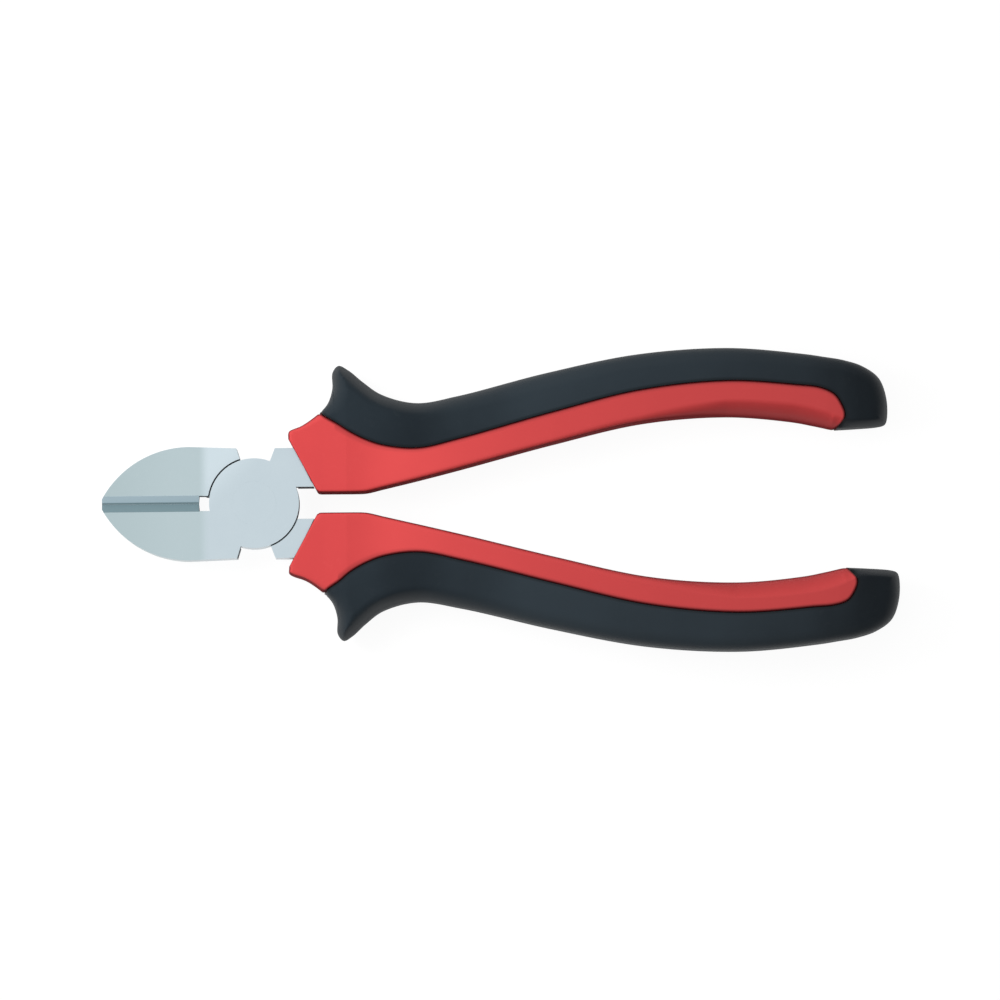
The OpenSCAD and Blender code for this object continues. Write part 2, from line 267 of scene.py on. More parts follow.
def makeSteel():
    look = satinSteel
    mat, tree, bsdf = newMaterial("satinSteelFinish")
    grain = placeGroup(tree, fineGrain, {
        "Grain per mm": look["grainPerMm"],
        "Mottle per mm": look["mottlePerMm"],
        "Stretch": look["grainStretch"],
    })
    place = placeInMm(tree)
    x, y, _ = splitXyz(tree, place)
    inPlan = addNode(tree, "ShaderNodeVectorMath", {1: (1, 1, 0)}, operation="MULTIPLY")
    fromPivot = addNode(tree, "ShaderNodeVectorMath", operation="LENGTH")
    tree.links.new(place, inPlan.inputs[0])
    tree.links.new(inPlan.outputs[0], fromPivot.inputs[0])

    # rubbed edges, but none round the flush rivet
    soft = addNode(tree, "ShaderNodeBevel", {"Radius": look["edgeRadius"] * mm})
    soft.samples = look["edgeSamples"]
    surface = addNode(tree, "ShaderNodeNewGeometry")
    turn = addNode(tree, "ShaderNodeVectorMath", operation="DOT_PRODUCT")
    tree.links.new(soft.outputs["Normal"], turn.inputs[0])
    tree.links.new(surface.outputs["Normal"], turn.inputs[1])
    edge = mathNode(tree, "SUBTRACT", 1.0, turn.outputs["Value"], clamp=True)
    offRivet = ramp(tree, fromPivot.outputs["Value"], *look["rivetZone"])
    marks = placeGroup(tree, handlingMarks, look["marks"])
    tree.links.new(mathNode(tree, "MULTIPLY", edge, offRivet), marks.inputs["Edge"])

    # plating in a random mottle, with a painted sheen that brightens it towards the heel of the upper jaw
    shade = mixColor(tree, grain.outputs["Mottle"], look["dark"], look["light"])
    toHeel = mathNode(tree, "SUBTRACT", y, x)
    shade = mixColor(tree, ramp(tree, toHeel, *look["polishFrom"]), shade, look["paintedSheen"])

    # ground jaws and the blade bevels in them
    jaws = inverted(tree, ramp(tree, x, *look["jawsFrom"]))
    # painted shade: the jaw faces darken towards the tips
    ground = mixColor(tree, ramp(tree, x, *look["tipsFrom"]), look["jawTips"], look["jaws"])
    shade = mixColor(tree, jaws, shade, ground)
    shade = mixColor(tree, marks.outputs["Rub"], shade, look["rubbed"])
    along = mathNode(tree, "LESS_THAN", x, look["bladeFrom"])
    across = mathNode(tree, "LESS_THAN", mathNode(tree, "ABSOLUTE", y), look["bladeWide"])
    blade = mathNode(tree, "MULTIPLY", along, across)
    # painted shade: the lower bevel is darker than the upper one
    bevels = mixColor(tree, ramp(tree, y, *look["bladeSplit"]), look["bladeShade"], look["blade"])
    shade = mixColor(tree, blade, shade, bevels)

    # painted shade on the side walls, less on those that face outwards
    paintedWallShade = placeGroup(tree, sideWalls, look["walls"])
    facing = splitXyz(tree, addNode(tree, "ShaderNodeTexCoord").outputs["Normal"])
    outward = mathNode(tree, "MULTIPLY", mathNode(tree, "SIGN", y), facing["Y"])
    bright = mathNode(tree, "MULTIPLY", ramp(tree, outward, *look["outerSides"]), look["outerShadeCut"])
    wall = mathNode(tree, "MULTIPLY", paintedWallShade.outputs["Mask"], inverted(tree, bright))
    shade = mixColor(tree, wall, shade, look["paintedWallShade"])
    tree.links.new(shade, bsdf.inputs["Base Color"])

    # bevels and the walls with painted shade are matt and rough
    shadedWallMatt = mathNode(tree, "MULTIPLY", wall, look["sideMatt"])
    matt = mathNode(tree, "MAXIMUM", mathNode(tree, "MULTIPLY", blade, look["bladeMatt"]), shadedWallMatt)
    tree.links.new(inverted(tree, matt), bsdf.inputs["Metallic"])
    dull = mathNode(tree, "MAXIMUM", mathNode(tree, "MULTIPLY", blade, look["bladeRough"]), shadedWallMatt)
    rough = roughFrom(tree, grain.outputs["Mottle"], *look["rough"])
    tree.links.new(mathNode(tree, "MAXIMUM", rough, dull), bsdf.inputs["Roughness"])
    addBump(tree, bsdf, grain.outputs["Height"], look["bump"], look["bumpDeep"])
    return mat


# Hard red sleeve finish

redSleeve = {
    # lit and deep shades of the sleeve, mixed by painted light along the grip and by random mottle
    "litTone": (0.72, 0.068, 0.068, 1),
    "deep": (0.56, 0.046, 0.048, 1),
    "rubbed": (0.70, 0.10, 0.098, 1),
    # painted light along the grip: mm from the pivot, and how far the shade there goes from deep to lit; it
    # paints a sheen round 29 mm and the fall of light towards the tail
    "paintedLightAlong": [(8, 0), (18, 0.1), (29, 0.75), (42, 0.5), (57, 0.36), (89, 0.36), (122, 0.36)],
    # painted shade: dark colour on the side walls
    "paintedWallShade": (0.16, 0.006, 0.010, 1),
    # painted shadow along the seam
    "seam": (0.06, 0.004, 0.006, 1),
    "sideAmount": 0.75,
    "sideDull": 1.0,
    "rough": (0.42, 0.52),
    "shine": 0.3,
    "grainPerMm": 2.2,
    "mottlePerMm": 0.09,
    "mottle": 0.35,
    "bump": 0.10,
    "bumpDeep": 0.03,
    "marks": {"Edge Amount": 0.25, "Scuff Amount": 0.10, "Scuffs per mm": 0.45},
    "walls": {"Upright": 0.25, "Level": 0.85},
}

# Soft black cover finish

blackCover = {
    # lit and deep shades of the cover, mixed by random mottle and by painted light along the grip: lighter
    # over the palm, darker towards the tail
    "litTone": (0.0225, 0.034, 0.044, 1),
    "deep": (0.001, 0.0045, 0.008, 1),
    "rubbed": (0.034, 0.042, 0.048, 1),
    "paintedLightAlong": [
        (14, 0.5), (22, 0.5), (31, 0.3), (42, 0.6), (57, 1), (89, 0.85), (109, 0.6), (116, 0.3), (122, 0.1),
    ],
    # painted shade: dark colour on the side walls
    "paintedWallShade": (0.004, 0.006, 0.008, 1),
    # painted shadow along the seam
    "seam": (0.002, 0.003, 0.004, 1),
    "sideAmount": 0.3,
    "sideDull": 0.6,
    "rough": (0.46, 0.58),
    "shine": 0.2,
    "grainPerMm": 5.0,
    "mottlePerMm": 0.12,
    "mottle": 0.35,
    "bump": 0.28,
    "bumpDeep": 0.03,
    "marks": {"Edge Amount": 0.45, "Scuff Amount": 0.12, "Scuffs per mm": 0.45},
    "walls": {"Upright": 0.25, "Level": 0.85},
}


def alongGrip(tree, stops):
    # value along the grip, from pairs of mm from the pivot and amount
    reach = stops[-1][0]
    place = addNode(tree, "ShaderNodeTexCoord")
    x = splitXyz(tree, place.outputs["Object"])["X"]
    node = addNode(tree, "ShaderNodeValToRGB")
    band = node.color_ramp
    band.interpolation = "EASE"
    for at, _ in stops[1:-1]:
        band.elements.new(at / reach)
    for point, (at, amount) in zip(band.elements, stops):
        point.position = at / reach
        point.color = (amount, amount, amount, 1)
    tree.links.new(mathNode(tree, "DIVIDE", x, reach * mm), node.inputs["Fac"])
    return node.outputs["Color"]


def makeMoulded(name, look):
    mat, tree, bsdf = newMaterial(name, {"Metallic": 0.0, "Specular IOR Level": look["shine"]})
    grain = placeGroup(tree, fineGrain, {
        "Grain per mm": look["grainPerMm"],
        "Mottle per mm": look["mottlePerMm"],
        "Stretch": 1.0,
    })
    marks = placeGroup(tree, handlingMarks, look["marks"])
    paintedWallShade = placeGroup(tree, sideWalls, look["walls"])
    rim = addNode(tree, "ShaderNodeAttribute", attribute_name="rimMask")
    seam = addNode(tree, "ShaderNodeAttribute", attribute_name="seamMask")
    tree.links.new(rim.outputs["Fac"], marks.inputs["Edge"])
    uneven = mathNode(tree, "SUBTRACT", grain.outputs["Mottle"], 0.5)   # about the middle of the noise
    uneven = mathNode(tree, "MULTIPLY", uneven, look["mottle"])
    # painted light along the grip, with random mottle on top
    paintedLightAlong = mathNode(tree, "ADD", alongGrip(tree, look["paintedLightAlong"]), uneven, clamp=True)
    shade = mixColor(tree, paintedLightAlong, look["deep"], look["litTone"])
    shade = mixColor(tree, marks.outputs["Rub"], shade, look["rubbed"])
    # painted shade on the side walls
    wall = mathNode(tree, "MULTIPLY", paintedWallShade.outputs["Mask"], look["sideAmount"])
    shade = mixColor(tree, wall, shade, look["paintedWallShade"])
    # painted shadow along the seam
    shade = mixColor(tree, seam.outputs["Fac"], shade, look["seam"])
    tree.links.new(shade, bsdf.inputs["Base Color"])
    dull = mathNode(tree, "MULTIPLY", paintedWallShade.outputs["Mask"], look["sideDull"])
    rough = roughFrom(tree, grain.outputs["Mottle"], *look["rough"])
    tree.links.new(mathNode(tree, "MAXIMUM", rough, dull), bsdf.inputs["Roughness"])
    addBump(tree, bsdf, grain.outputs["Height"], look["bump"], look["bumpDeep"])
    return mat


steelMat = makeSteel()
redMat = makeMoulded("redSleeveFinish", redSleeve)
blackMat = makeMoulded("blackCoverFinish", blackCover)
print("finishes ready")


# Steel halves and rivet keep their solids; the halves get eased edges

steelEdges = {
    "weld": 0.002,          # mm
    "flat": 0.5,            # degrees within which faces count as one
    "upright": 0.7,         # an edge is upright if it rises by more than this share of its length
    "roundWalls": 25,       # degrees up to which upright edges are shaded as a round wall
    "crisp": 3,             # degrees from which the other edges stay crisp
    "ease": 0.2,            # mm
    "easeSteps": 2,
    "easeFrom": 78,         # degrees, so that the cutting edges stay crisp
}


def makeRoundWalls():
    # shades the narrow facets of the round walls as one surface
    look = steelEdges
    tree, start, end = newGroup(
        "roundWalls", ["Geometry"], ["Geometry"], "GeometryNodeTree", "NodeSocketGeometry",
    )
    ends = addNode(tree, "GeometryNodeInputMeshEdgeVertices")
    run = addNode(tree, "ShaderNodeVectorMath", operation="SUBTRACT")
    heading = addNode(tree, "ShaderNodeVectorMath", operation="NORMALIZE")
    tree.links.new(ends.outputs["Position 1"], run.inputs[0])
    tree.links.new(ends.outputs["Position 2"], run.inputs[1])
    tree.links.new(run.outputs[0], heading.inputs[0])
    rise = mathNode(tree, "ABSOLUTE", splitXyz(tree, heading.outputs[0])["Z"])
    level = mathNode(tree, "LESS_THAN", rise, look["upright"])
    turn = addNode(tree, "GeometryNodeInputMeshEdgeAngle").outputs["Unsigned Angle"]
    crisp = mathNode(tree, "GREATER_THAN", turn, math.radians(look["crisp"]))
    corner = mathNode(tree, "GREATER_THAN", turn, math.radians(look["roundWalls"]))
    sharp = mathNode(tree, "MAXIMUM", mathNode(tree, "MULTIPLY", level, crisp), corner)
    plain = addNode(tree, "GeometryNodeRemoveAttribute", {"Name": "custom_normal"})
    faces = addNode(tree, "GeometryNodeSetShadeSmooth", domain="FACE")
    edges = addNode(tree, "GeometryNodeSetShadeSmooth", {"Shade Smooth": False}, domain="EDGE")
    tree.links.new(start.outputs["Geometry"], plain.inputs["Geometry"])
    tree.links.new(plain.outputs["Geometry"], faces.inputs["Geometry"])
    tree.links.new(faces.outputs["Geometry"], edges.inputs["Geometry"])
    tree.links.new(sharp, edges.inputs["Selection"])
    tree.links.new(edges.outputs["Geometry"], end.inputs["Geometry"])
    return tree


roundWalls = makeRoundWalls()


def easeSteel(node):
    node.data.materials.clear()
    node.data.materials.append(steelMat)
    weld = node.modifiers.new("weld", "WELD")
    weld.merge_threshold = steelEdges["weld"] * mm
    flat = node.modifiers.new("flatFaces", "DECIMATE")
    flat.decimate_type = "DISSOLVE"
    flat.angle_limit = math.radians(steelEdges["flat"])
    shaded = node.modifiers.new("roundWalls", "NODES")
    shaded.node_group = roundWalls
    if node.name != "pivot_rivet":
        ease = node.modifiers.new("easedEdges", "BEVEL")
        ease.width = steelEdges["ease"] * mm
        ease.segments = steelEdges["easeSteps"]
        ease.limit_method = "ANGLE"
        ease.angle_limit = math.radians(steelEdges["easeFrom"])
        ease.harden_normals = True
        ease.use_clamp_overlap = True


for steelName in ("front_half", "rear_half", "pivot_rivet"):
    easeSteel(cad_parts[steelName])
print("steel halves dressed")


# Grips, drawn in mm as the upper one: a red sleeve and a black cover that meet along a seam

gripShape = {
    # places along the grip: mouth, finger guard, waist, palm, tail; as many inside as outside
    "inner": [
        (12.75, 2.1), (12.9, 1.95), (13.3, 1.87), (14.3, 1.85), (15.4, 1.85), (16.3, 1.85), (17, 1.85),
        (17.7, 1.85), (18.4, 1.85), (20, 1.85), (22.5, 1.95), (26, 2.75), (33, 4.4), (42, 6.65),
        (60, 11.35), (78, 15.4), (95, 16.6), (108, 15.5), (112, 14.75), (114.3, 14.25), (115.4, 14),
        (115.9, 13.92), (116.2, 13.87), (116.35, 13.83), (116.42, 13.82), (116.46, 13.81), (116.49, 13.8),
        (116.5, 13.8),
    ],
    "outer": [
        (6.85, 13), (6.85, 14), (7.2, 14.5), (9.85, 15.6), (13.35, 18.15), (15.05, 20.1), (15.95, 23),
        (16, 26.2), (17.2, 27.6), (19.1, 26.7), (22, 24.25), (25.6, 21.75), (32.5, 20), (41, 21.35),
        (58.5, 25.7), (77, 29.35), (95.5, 30.5), (110.5, 29.2), (114.5, 28.6), (118.5, 27.9), (122.4, 26.6),
        (125.6, 24.2), (127.1, 19.9), (127.05, 15.6), (126.6, 14.8), (125.4, 14.4), (120.5, 14),
        (116.5, 13.8),
    ],
    # the seam leaves the outer line at the fifth place and rounds the end of the sleeve
    "seamFrom": 4,
    "seam": [
        (13.35, 18.15), (14.75, 17.1), (16.3, 16.15), (17.35, 15.45), (18.25, 14.8), (19.9, 13.75),
        (22.45, 12.45), (25.9, 11.25), (32.8, 10.55), (41.5, 12.4), (59.2, 17.2), (77.4, 21.65),
        (95.2, 23.4), (109.5, 22.45), (113.9, 21.95), (116.7, 20.75), (118.1, 18.8), (118.75, 17),
        (118.6, 15.9), (118.2, 15.2), (117.8, 14.75), (117.3, 14.3), (116.9, 14), (116.5, 13.8),
    ],
    "seamMoves": (4, 16),   # places over which a seam that is set over moves
    "seamReturns": (17, 20),    # and over which it comes back
    # width of the edge between each side and the faces, how round it is (2 is a true arc, 1 a chamfer)
    # and how many times deeper than wide
    "innerRound": [0.6] * 10 + [0.7, 0.8, 0.9, 1, 1, 1.4, 3, 3.3, 3.2, 3, 2.8] + [2.6] * 7,
    "innerCrown": [2] * 15 + [1.8] + [1.2] * 12,
    "outerRound": [
        0.6, 0.6, 0.6, 0.7, 1.4, 2.8, 3.4, 2.6, 2.2, 2.2, 2.3, 2.4, 2.6, 3, 3.2, 3, 2.8, 2.6, 2.5, 2.4,
        2.4, 2.4, 2.4, 2.2, 1.7, 1.4, 1.5, 2.6,
    ],
    "outerCrown": (
        [2] * 6 + [1.8, 1.5, 1.35, 1.3, 1.3, 1.3, 1.4, 1.6] + [2] * 9 + [1.8, 1.4, 1.3, 1.3, 1.25]
    ),
    "outerDeep": [1] * 6 + [1.2, 1.5, 1.8, 1.8, 1.8, 1.8, 1.6, 1.3] + [1] * 9 + [1.3, 1.6, 1.9, 1.9, 1],
    "facetFrom": (14, 16),  # places between which the facet along the palm deepens
    "draft": 0.25,          # bulge of the side walls
    "edgeShare": 0.9,       # most of the half thickness that an edge takes up
    # share of the thickness by distance from the pivot
    "thick": [
        (7, 0.9), (14, 0.95), (18.5, 1), (26, 0.985), (34, 0.97), (44, 0.975), (60, 1), (80, 1),
        (96, 0.99), (108, 0.975), (115, 0.955), (118.5, 0.925), (121, 0.865), (124, 0.74), (127, 0.56),
    ],
    "guardThin": 0.12,      # share of its thickness that the guard loses up to its tip
    "guardThins": (19.5, 27.6), # distances from the middle line over which it does
    # how far the places follow a guard that is set back
    "guardShare": [0, 0, 0.5, 1, 1, 1, 1, 1, 1, 0.7, 0.3],
    "guardSeam": [1, 0.8, 0.6, 0.4, 0.2],
    "drawnRear": 126.85,    # reach at which a grip keeps the length drawn here
    "stretch": (30, 108),   # where a longer or shorter grip takes up its length
    "handleFrom": (30, 60),     # and where a handle moves to the side
    "lip": 0.8,             # rounded edge of the cover along the seam
    "swell": 0.3,           # fall of the cover towards the seam
    "swellWide": 3.5,
    "swellFull": 8,         # width of the cover from which the fall is full
    "groove": 0.45,         # depth and width of the sleeve's groove at the seam
    "grooveWide": 0.6,
    "flushFrom": (24, 26.5),    # places over which the groove and the lip run out
    "seamShade": 0.6,       # distance over which the shadow along the seam fades
    "seamDark": 1.2,        # over 1, so that it is full close to the seam
    "mouthRound": 0.4,
}

# how the grips are meshed, and the faces of sleeve and cover that meet out of sight
gripMesh = {
    "ringStep": 0.5,
    "leastRings": 6,        # from one place to the next
    "endRings": 24,
    "leastWide": 0.05,      # narrower rings give way to the point at the end
    "weld": 0.0001,
    "sharpFrom": 50,        # degrees
    # points up a side wall, over its edge, across the middle and in the zones along the seam
    "wallSteps": 5,
    "edgeSteps": 10,
    "coverSteps": 9,
    "sleeveSteps": 10,
    "lipSteps": 8,
    "grooveSteps": 12,
    "closingPower": 1.7,    # draws the points together at a seam
    "zoneShare": 0.9,       # most of a ring that its two ends take up
    "frontPoint": 12,       # a point of each ring that lies on the front
    "bond": 0.05,           # between sleeve and cover
    "bondShare": 0.2,       # most of a narrow ring that it takes up
    "coverWall": 1.2,
    "coverRim": 3.2,        # width of the cover outside the sleeve's core
    "coreLeast": 0.04,      # least share of the cover's width that the core reaches
    "coreFrom": (4, 7.5),   # places over which the core sets in
    "coreTo": (16.6, 19),   # and over which it runs out
    # least height of the hidden corners, as a share of the height above them
    "coverDeep": 0.3,
    "lipDeep": 0.4,
    "sleeveDeep": 0.25,
    "grooveDeep": 0.3,
}

# the two mouldings are not quite alike: mm by which each seam, guard and handle is set over,
# and how many times deeper than wide the facet is along the inner side of the palm
gripSides = {
    "upper": {
        "side": 1, "body": "front_lever",
        "seamOut": 0.4, "guardBack": -0.2, "handleOut": 0.07, "facetDeep": 1.3,
    },
    "lower": {
        "side": -1, "body": "rear_lever",
        "seamOut": -0.55, "guardBack": 0.5, "handleOut": -0.16, "facetDeep": 1.0,
    },
}


def unit(v):
    return v / np.maximum(np.linalg.norm(v, axis=-1, keepdims=True), tiny)


def easeIn(x, low, high):
    t = np.clip((x - low) / (high - low), 0, 1)
    return t * t * (3 - 2 * t)


def spanOf(a, b):
    return max(np.linalg.norm(b - a), tiny) ** 0.5


def smoothLine(knots, steps):
    # centripetal curve through the knots, with steps[i] points from knot i on, closing up at its end
    knots = np.array(knots, float)
    padded = np.vstack([2 * knots[0] - knots[1], knots, 2 * knots[-1] - knots[-2]])
    line = []
    for i, count in enumerate(steps):
        a, b, c, d = padded[i:i + 4]
        tb = spanOf(a, b)
        tc = tb + spanOf(b, c)
        td = tc + spanOf(c, d)
        for k in range(count):
            share = k / count
            if i == len(steps) - 1:
                share = 1 - (1 - share) ** 2
            t = tb + (tc - tb) * share
            ab = a + (b - a) * t / tb
            bc = b + (c - b) * (t - tb) / (tc - tb)
            cd = c + (d - c) * (t - tc) / (td - tc)
            abc = ab + (bc - ab) * t / tc
            bcd = bc + (cd - bc) * (t - tb) / (td - tb)
            line.append(abc + (bcd - abc) * (t - tb) / (tc - tb))
    line.append(knots[-1])
    return np.array(line)


def alongSteps(values, steps):
    # values at the places, shared out over the rings between them
    at = np.concatenate([[0], np.cumsum(steps)])
    return np.interp(np.arange(at[-1] + 1), at, values)


def distanceTo(line, points):
    # distance from each point to a line, and the place along the line that is nearest
    a, b = line[:-1], line[1:]
    run = b - a
    length2 = np.maximum((run * run).sum(1), tiny ** 2)
    best = np.full(len(points), np.inf)
    place = np.zeros(len(points))
    for i in range(len(a)):
        t = np.clip(((points - a[i]) @ run[i]) / length2[i], 0, 1)
        gap = np.linalg.norm(points - a[i] - t[:, None] * run[i], axis=1)
        nearer = gap < best
        best = np.where(nearer, gap, best)
        place = np.where(nearer, i + t, place)
    return best, place


def sideHeight(d, r, crown, deep, full):
    # height at a distance from the outline: a bulging side wall, then an edge of width r up to the face
    draft = gripShape["draft"]
    tall = np.minimum(r * deep, full * gripShape["edgeShare"])
    wall = (full - tall) * np.sqrt(np.clip(d / draft, 0, 1))
    lean = np.clip((draft + r - d) / r, 0, 1)
    return np.where(d < draft, wall, full - tall + tall * (1 - lean ** crown) ** (1 / crown))


class Grip:
    def __init__(self, reach, sleeveHalf, coverHalf, seamOut, guardBack, handleOut, facetDeep):
        g = gripShape
        self.sleeveHalf, self.coverHalf = sleeveHalf, coverHalf
        inner, outer, seam = (np.array(g[key], float) for key in ("inner", "outer", "seam"))
        outer[:len(g["guardShare"]), 0] += guardBack * np.array(g["guardShare"])
        seam[:len(g["guardSeam"]), 0] += guardBack * np.array(g["guardSeam"])
        steps = []
        for i in range(len(inner) - 1):
            longest = max(np.linalg.norm(line[i + 1] - line[i]) for line in (inner, outer))
            steps.append(max(gripMesh["leastRings"], math.ceil(longest / gripMesh["ringStep"])))
        steps[-1] = gripMesh["endRings"]
        self.inner, self.outer = smoothLine(inner, steps), smoothLine(outer, steps)
        self.wedge = sum(steps[:g["seamFrom"]])     # rings before the seam leaves the outer line
        self.seam = np.vstack([self.outer[:self.wedge], smoothLine(seam, steps[g["seamFrom"]:])])
        self.station = alongSteps(np.arange(len(inner)), steps)
        self.edges = {
            key: alongSteps(g[key], steps)
            for key in ("innerRound", "innerCrown", "outerRound", "outerCrown", "outerDeep")
        }
        self.edges["innerDeep"] = 1 + (facetDeep - 1) * easeIn(self.station, *g["facetFrom"])
        self.grooved = 1 - easeIn(self.station, *g["flushFrom"])
        moved = easeIn(self.station, *g["seamMoves"]) * (1 - easeIn(self.station, *g["seamReturns"]))
        self.seam += unit(self.outer - self.seam) * (seamOut * moved)[:, None]
        low, high = g["stretch"]
        self.longer = reach - g["drawnRear"]
        for line in (self.inner, self.outer, self.seam):
            line[:, 0] += np.clip((line[:, 0] - low) / (high - low), 0, 1) * self.longer
            line[:, 1] += easeIn(line[:, 0], *g["handleFrom"]) * handleOut

    def height(self, plan, half):
        # half thickness of the grip over points in the plan, and how near they are to the outline
        g = gripShape
        points = plan.reshape(-1, 2)
        rings = np.arange(len(self.inner))
        dIn, nearIn = distanceTo(self.inner, points)
        dOut, nearOut = distanceTo(self.outer, points)
        rIn, crownIn, deepIn = (
            np.interp(nearIn, rings, self.edges[key]) for key in ("innerRound", "innerCrown", "innerDeep")
        )
        rOut, crownOut, deepOut = (
            np.interp(nearOut, rings, self.edges[key]) for key in ("outerRound", "outerCrown", "outerDeep")
        )
        low, high = g["stretch"]
        far = np.clip((points[:, 0] - low) / (high + self.longer - low), 0, 1)
        drawnX = points[:, 0] - far * self.longer
        share = np.interp(drawnX, *zip(*g["thick"]))
        guard = easeIn(points[:, 1], *g["guardThins"]) * (drawnX < low)
        full = half * share * (1 - g["guardThin"] * guard)
        zIn = sideHeight(dIn, rIn, crownIn, deepIn, full)
        zOut = sideHeight(dOut, rOut, crownOut, deepOut, full)
        rim = 1 - np.minimum(dIn / (rIn + g["draft"]), dOut / (rOut + g["draft"]))
        shape = plan.shape[:-1]
        return np.minimum(zIn, zOut).reshape(shape), np.clip(rim, 0, 1).reshape(shape)


def closing(length, count):
    # places in a zone, closest together at its start
    return np.stack([length * (k / count) ** gripMesh["closingPower"] for k in range(count + 1)], axis=1)


def sideZone(radius):
    # places from the outline over the side wall and its edge
    draft = gripShape["draft"]
    wallCount, edgeCount = gripMesh["wallSteps"], gripMesh["edgeSteps"]
    wall = [np.full(len(radius), draft * (k / wallCount) ** 2) for k in range(wallCount)]
    edge = [draft + radius * (1 - math.cos(math.pi / 2 * k / edgeCount)) for k in range(edgeCount + 1)]
    return np.stack(wall + edge, axis=1)


def spread(width, start, end, middle):
    # places across a ring: a zone at each end, even steps between them
    fit = np.minimum(1, gripMesh["zoneShare"] * width / (start[:, -1] + end[:, -1]))[:, None]
    start, end = start * fit, width[:, None] - end[:, ::-1] * fit
    steps = np.arange(1, middle) / middle
    between = start[:, -1:] + (end[:, :1] - start[:, -1:]) * steps
    return np.concatenate([start, between, end], axis=1)


def wrapSkin(plan, z, rim):
    # the front skin from the seam to the outline, then the back skin to the seam again
    front = np.concatenate([plan, z[..., None]], axis=2)
    skin, rim = (np.concatenate([part, part[:, -2::-1]], axis=1) for part in (front, rim))
    skin[:, front.shape[1]:, 2] *= -1
    return skin, rim


def sunk(skin, depth):
    along, across = np.gradient(skin, axis=0), np.gradient(skin, axis=1)
    normals = unit(np.cross(along, across))
    outward = np.sign(normals[:, gripMesh["frontPoint"], 2].mean())
    return skin - normals * outward * depth[..., None]


def seamDistance(line, skin):
    # distance of skin points from the seam, front and back alike
    points = skin.reshape(-1, 3).copy()
    points[:, 2] = np.abs(points[:, 2])
    return distanceTo(line, points)[0].reshape(skin.shape[:2])


def hiddenCore(grip):
    # how far the sleeve's core reaches under the cover at each ring
    m = gripMesh
    wide = np.linalg.norm(grip.outer - grip.seam, axis=1)
    share = np.clip(1 - m["coverRim"] / np.maximum(wide, tiny), m["coreLeast"], 1)
    held = easeIn(grip.station, *m["coreFrom"]) * (1 - easeIn(grip.station, *m["coreTo"]))
    return wide * (m["coreLeast"] + (share - m["coreLeast"]) * held)


def closedRings(skin, rim, near, corner, deep, wide):
    # the skin with its hidden corners, back and front, and what the finish needs to know at each point
    flip = np.array([1, 1, -1])
    hidden = np.stack([corner * flip, deep * flip, deep, corner], axis=1)
    rings = np.concatenate([skin, hidden], axis=1)
    # painted shadow along the seam, full close to it
    shadow = np.clip(gripShape["seamDark"] - near / gripShape["seamShade"], 0, 1)
    pad = np.zeros(hidden.shape[:2])
    masks = {"rimMask": np.hstack([rim, pad]), "seamMask": np.hstack([shadow, pad])}
    kept = wide > gripMesh["leastWide"]
    kept[[0, -1]] = True
    return rings[kept], {key: values[kept] for key, values in masks.items()}


def coverRings(grip):
    g, m = gripShape, gripMesh
    seam, outer = grip.seam[grip.wedge:], grip.outer[grip.wedge:]
    away = unit(outer - seam)
    wide = np.linalg.norm(outer - seam, axis=1)
    start = np.minimum(m["bond"], wide * m["bondShare"])
    lipZone = closing(np.full(len(wide), g["lip"]), m["lipSteps"])
    side = sideZone(grip.edges["outerRound"][grip.wedge:])
    places = start[:, None] + spread(wide - start, lipZone, side, m["coverSteps"])
    plan = seam[:, None] + away[:, None] * places[..., None]
    skin, rim = wrapSkin(plan, *grip.height(plan, grip.coverHalf))

    # round the lip and let the skin fall towards the seam
    line = np.concatenate([seam, grip.height(seam, grip.sleeveHalf)[0][:, None]], axis=1)
    near = seamDistance(line, skin)
    q = np.clip(near / g["lip"], 0, 1)
    lipSink = g["lip"] * (1 - np.sqrt(1 - (1 - q) ** 2))
    fall = g["swell"] * np.clip(1 - near / g["swellWide"], 0, 1) ** 2
    fall = fall * np.minimum(wide / g["swellFull"], 1)[:, None]
    skin = sunk(skin, (lipSink + fall) * grip.grooved[grip.wedge:, None])

    # hidden corners, against the sleeve's core
    inPlan = seam + away * hiddenCore(grip)[grip.wedge:, None]
    inZ = grip.height(inPlan, grip.sleeveHalf)[0]
    deepZ = np.maximum(inZ - m["coverWall"], m["coverDeep"] * inZ)
    deep = np.concatenate([inPlan, deepZ[:, None]], axis=1)
    corner = skin[:, 0].copy()
    corner[:, 2] = np.maximum(corner[:, 2] - m["coverWall"] + g["lip"] / 2, m["lipDeep"] * corner[:, 2])
    return closedRings(skin, rim, near, corner, deep, wide)


